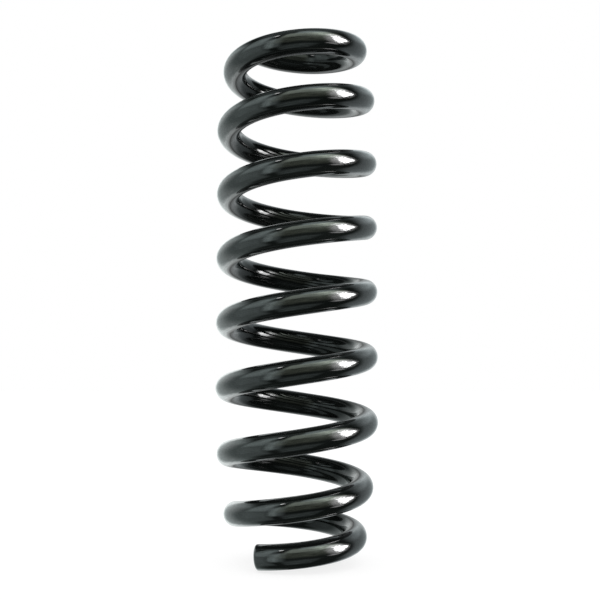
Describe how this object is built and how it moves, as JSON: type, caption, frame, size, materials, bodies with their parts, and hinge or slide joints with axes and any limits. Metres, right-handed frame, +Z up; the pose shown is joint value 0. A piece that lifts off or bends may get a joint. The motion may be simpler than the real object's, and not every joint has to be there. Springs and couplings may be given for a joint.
{
  "type": "coil spring",
  "caption": "Right-hand wound compression spring of round wire with open, unground end coils drawn in to a smaller diameter.",
  "frame": {"origin": "on the coil axis at the height of the lowest point of the wire, where the lower spring seat carries it", "axes": "+Z up the coil axis towards the upper end; -Y is the front of the spring and +X its right"},
  "size_m": [0.1068, 0.1068, 0.3556],
  "materials": {
    "black_paint": "gloss"
  },
  "bodies": {
    "lower_end": {"coil_1_front": "black_paint", "coil_1_right": "black_paint", "coil_1_back": "black_paint"},
    "coil_1_left": {"coil_1_left": "black_paint"},
    "coil_2_front": {"coil_2_front": "black_paint"},
    "coil_2_right": {"coil_2_right": "black_paint"},
    "coil_2_back": {"coil_2_back": "black_paint"},
    "coil_2_left": {"coil_2_left": "black_paint"},
    "coil_3_front": {"coil_3_front": "black_paint"},
    "coil_3_right": {"coil_3_right": "black_paint"},
    "coil_3_back": {"coil_3_back": "black_paint"},
    "coil_3_left": {"coil_3_left": "black_paint"},
    "coil_4_front": {"coil_4_front": "black_paint"},
    "coil_4_right": {"coil_4_right": "black_paint"},
    "coil_4_back": {"coil_4_back": "black_paint"},
    "coil_4_left": {"coil_4_left": "black_paint"},
    "coil_5_front": {"coil_5_front": "black_paint"},
    "coil_5_right": {"coil_5_right": "black_paint"},
    "coil_5_back": {"coil_5_back": "black_paint"},
    "coil_5_left": {"coil_5_left": "black_paint"},
    "coil_6_front": {"coil_6_front": "black_paint"},
    "coil_6_right": {"coil_6_right": "black_paint"},
    "coil_6_back": {"coil_6_back": "black_paint"},
    "coil_6_left": {"coil_6_left": "black_paint"},
    "coil_7_front": {"coil_7_front": "black_paint"},
    "coil_7_right": {"coil_7_right": "black_paint"},
    "coil_7_back": {"coil_7_back": "black_paint"},
    "coil_7_left": {"coil_7_left": "black_paint"},
    "coil_8_front": {"coil_8_front": "black_paint"},
    "coil_8_right": {"coil_8_right": "black_paint"},
    "coil_8_back": {"coil_8_back": "black_paint"},
    "coil_8_left": {"coil_8_left": "black_paint"},
    "upper_end": {"coil_9_front": "black_paint", "coil_9_right": "black_paint", "coil_9_back": "black_paint"}
  },
  "joints": [
    {"name": "compression", "type": "slide", "parent": "lower_end", "child": "upper_end", "axis": [0, 0, -1], "range_m": [0, 0.145], "stiffness_N_per_m": 125800},
    {"name": "close_coil_1_left", "type": "slide", "parent": "lower_end", "child": "coil_1_left", "axis": [0, 0, -1], "range_m": [0, 0.00331]},
    {"name": "close_coil_2_front", "type": "slide", "parent": "lower_end", "child": "coil_2_front", "axis": [0, 0, -1], "range_m": [0, 0.00692]},
    {"name": "close_coil_2_right", "type": "slide", "parent": "lower_end", "child": "coil_2_right", "axis": [0, 0, -1], "range_m": [0, 0.01088]},
    {"name": "close_coil_2_back", "type": "slide", "parent": "lower_end", "child": "coil_2_back", "axis": [0, 0, -1], "range_m": [0, 0.0152]},
    {"name": "close_coil_2_left", "type": "slide", "parent": "lower_end", "child": "coil_2_left", "axis": [0, 0, -1], "range_m": [0, 0.01987]},
    {"name": "close_coil_3_front", "type": "slide", "parent": "lower_end", "child": "coil_3_front", "axis": [0, 0, -1], "range_m": [0, 0.02482]},
    {"name": "close_coil_3_right", "type": "slide", "parent": "lower_end", "child": "coil_3_right", "axis": [0, 0, -1], "range_m": [0, 0.02993]},
    {"name": "close_coil_3_back", "type": "slide", "parent": "lower_end", "child": "coil_3_back", "axis": [0, 0, -1], "range_m": [0, 0.03508]},
    {"name": "close_coil_3_left", "type": "slide", "parent": "lower_end", "child": "coil_3_left", "axis": [0, 0, -1], "range_m": [0, 0.04023]},
    {"name": "close_coil_4_front", "type": "slide", "parent": "lower_end", "child": "coil_4_front", "axis": [0, 0, -1], "range_m": [0, 0.04537]},
    {"name": "close_coil_4_right", "type": "slide", "parent": "lower_end", "child": "coil_4_right", "axis": [0, 0, -1], "range_m": [0, 0.05052]},
    {"name": "close_coil_4_back", "type": "slide", "parent": "lower_end", "child": "coil_4_back", "axis": [0, 0, -1], "range_m": [0, 0.05567]},
    {"name": "close_coil_4_left", "type": "slide", "parent": "lower_end", "child": "coil_4_left", "axis": [0, 0, -1], "range_m": [0, 0.06081]},
    {"name": "close_coil_5_front", "type": "slide", "parent": "lower_end", "child": "coil_5_front", "axis": [0, 0, -1], "range_m": [0, 0.06596]},
    {"name": "close_coil_5_right", "type": "slide", "parent": "lower_end", "child": "coil_5_right", "axis": [0, 0, -1], "range_m": [0, 0.07111]},
    {"name": "close_coil_5_back", "type": "slide", "parent": "lower_end", "child": "coil_5_back", "axis": [0, 0, -1], "range_m": [0, 0.07626]},
    {"name": "close_coil_5_left", "type": "slide", "parent": "lower_end", "child": "coil_5_left", "axis": [0, 0, -1], "range_m": [0, 0.0814]},
    {"name": "close_coil_6_front", "type": "slide", "parent": "lower_end", "child": "coil_6_front", "axis": [0, 0, -1], "range_m": [0, 0.08655]},
    {"name": "close_coil_6_right", "type": "slide", "parent": "lower_end", "child": "coil_6_right", "axis": [0, 0, -1], "range_m": [0, 0.0917]},
    {"name": "close_coil_6_back", "type": "slide", "parent": "lower_end", "child": "coil_6_back", "axis": [0, 0, -1], "range_m": [0, 0.09684]},
    {"name": "close_coil_6_left", "type": "slide", "parent": "lower_end", "child": "coil_6_left", "axis": [0, 0, -1], "range_m": [0, 0.10199]},
    {"name": "close_coil_7_front", "type": "slide", "parent": "lower_end", "child": "coil_7_front", "axis": [0, 0, -1], "range_m": [0, 0.10714]},
    {"name": "close_coil_7_right", "type": "slide", "parent": "lower_end", "child": "coil_7_right", "axis": [0, 0, -1], "range_m": [0, 0.11228]},
    {"name": "close_coil_7_back", "type": "slide", "parent": "lower_end", "child": "coil_7_back", "axis": [0, 0, -1], "range_m": [0, 0.11743]},
    {"name": "close_coil_7_left", "type": "slide", "parent": "lower_end", "child": "coil_7_left", "axis": [0, 0, -1], "range_m": [0, 0.12258]},
    {"name": "close_coil_8_front", "type": "slide", "parent": "lower_end", "child": "coil_8_front", "axis": [0, 0, -1], "range_m": [0, 0.12768]},
    {"name": "close_coil_8_right", "type": "slide", "parent": "lower_end", "child": "coil_8_right", "axis": [0, 0, -1], "range_m": [0, 0.13257]},
    {"name": "close_coil_8_back", "type": "slide", "parent": "lower_end", "child": "coil_8_back", "axis": [0, 0, -1], "range_m": [0, 0.1371]},
    {"name": "close_coil_8_left", "type": "slide", "parent": "lower_end", "child": "coil_8_left", "axis": [0, 0, -1], "range_m": [0, 0.14124]}
  ],
  "couplings": [
    {"joint": "close_coil_1_left", "follows": "compression", "ratio": 0.022812},
    {"joint": "close_coil_2_front", "follows": "compression", "ratio": 0.047726},
    {"joint": "close_coil_2_right", "follows": "compression", "ratio": 0.07504},
    {"joint": "close_coil_2_back", "follows": "compression", "ratio": 0.10486},
    {"joint": "close_coil_2_left", "follows": "compression", "ratio": 0.13704},
    {"joint": "close_coil_3_front", "follows": "compression", "ratio": 0.17114},
    {"joint": "close_coil_3_right", "follows": "compression", "ratio": 0.20643},
    {"joint": "close_coil_3_back", "follows": "compression", "ratio": 0.24192},
    {"joint": "close_coil_3_left", "follows": "compression", "ratio": 0.27742},
    {"joint": "close_coil_4_front", "follows": "compression", "ratio": 0.31292},
    {"joint": "close_coil_4_right", "follows": "compression", "ratio": 0.34841},
    {"joint": "close_coil_4_back", "follows": "compression", "ratio": 0.38391},
    {"joint": "close_coil_4_left", "follows": "compression", "ratio": 0.4194},
    {"joint": "close_coil_5_front", "follows": "compression", "ratio": 0.4549},
    {"joint": "close_coil_5_right", "follows": "compression", "ratio": 0.4904},
    {"joint": "close_coil_5_back", "follows": "compression", "ratio": 0.5259},
    {"joint": "close_coil_5_left", "follows": "compression", "ratio": 0.5614},
    {"joint": "close_coil_6_front", "follows": "compression", "ratio": 0.59689},
    {"joint": "close_coil_6_right", "follows": "compression", "ratio": 0.63239},
    {"joint": "close_coil_6_back", "follows": "compression", "ratio": 0.66788},
    {"joint": "close_coil_6_left", "follows": "compression", "ratio": 0.70338},
    {"joint": "close_coil_7_front", "follows": "compression", "ratio": 0.73888},
    {"joint": "close_coil_7_right", "follows": "compression", "ratio": 0.77437},
    {"joint": "close_coil_7_back", "follows": "compression", "ratio": 0.80987},
    {"joint": "close_coil_7_left", "follows": "compression", "ratio": 0.84536},
    {"joint": "close_coil_8_front", "follows": "compression", "ratio": 0.88057},
    {"joint": "close_coil_8_right", "follows": "compression", "ratio": 0.91425},
    {"joint": "close_coil_8_back", "follows": "compression", "ratio": 0.94554},
    {"joint": "close_coil_8_left", "follows": "compression", "ratio": 0.97409}
  ]
}
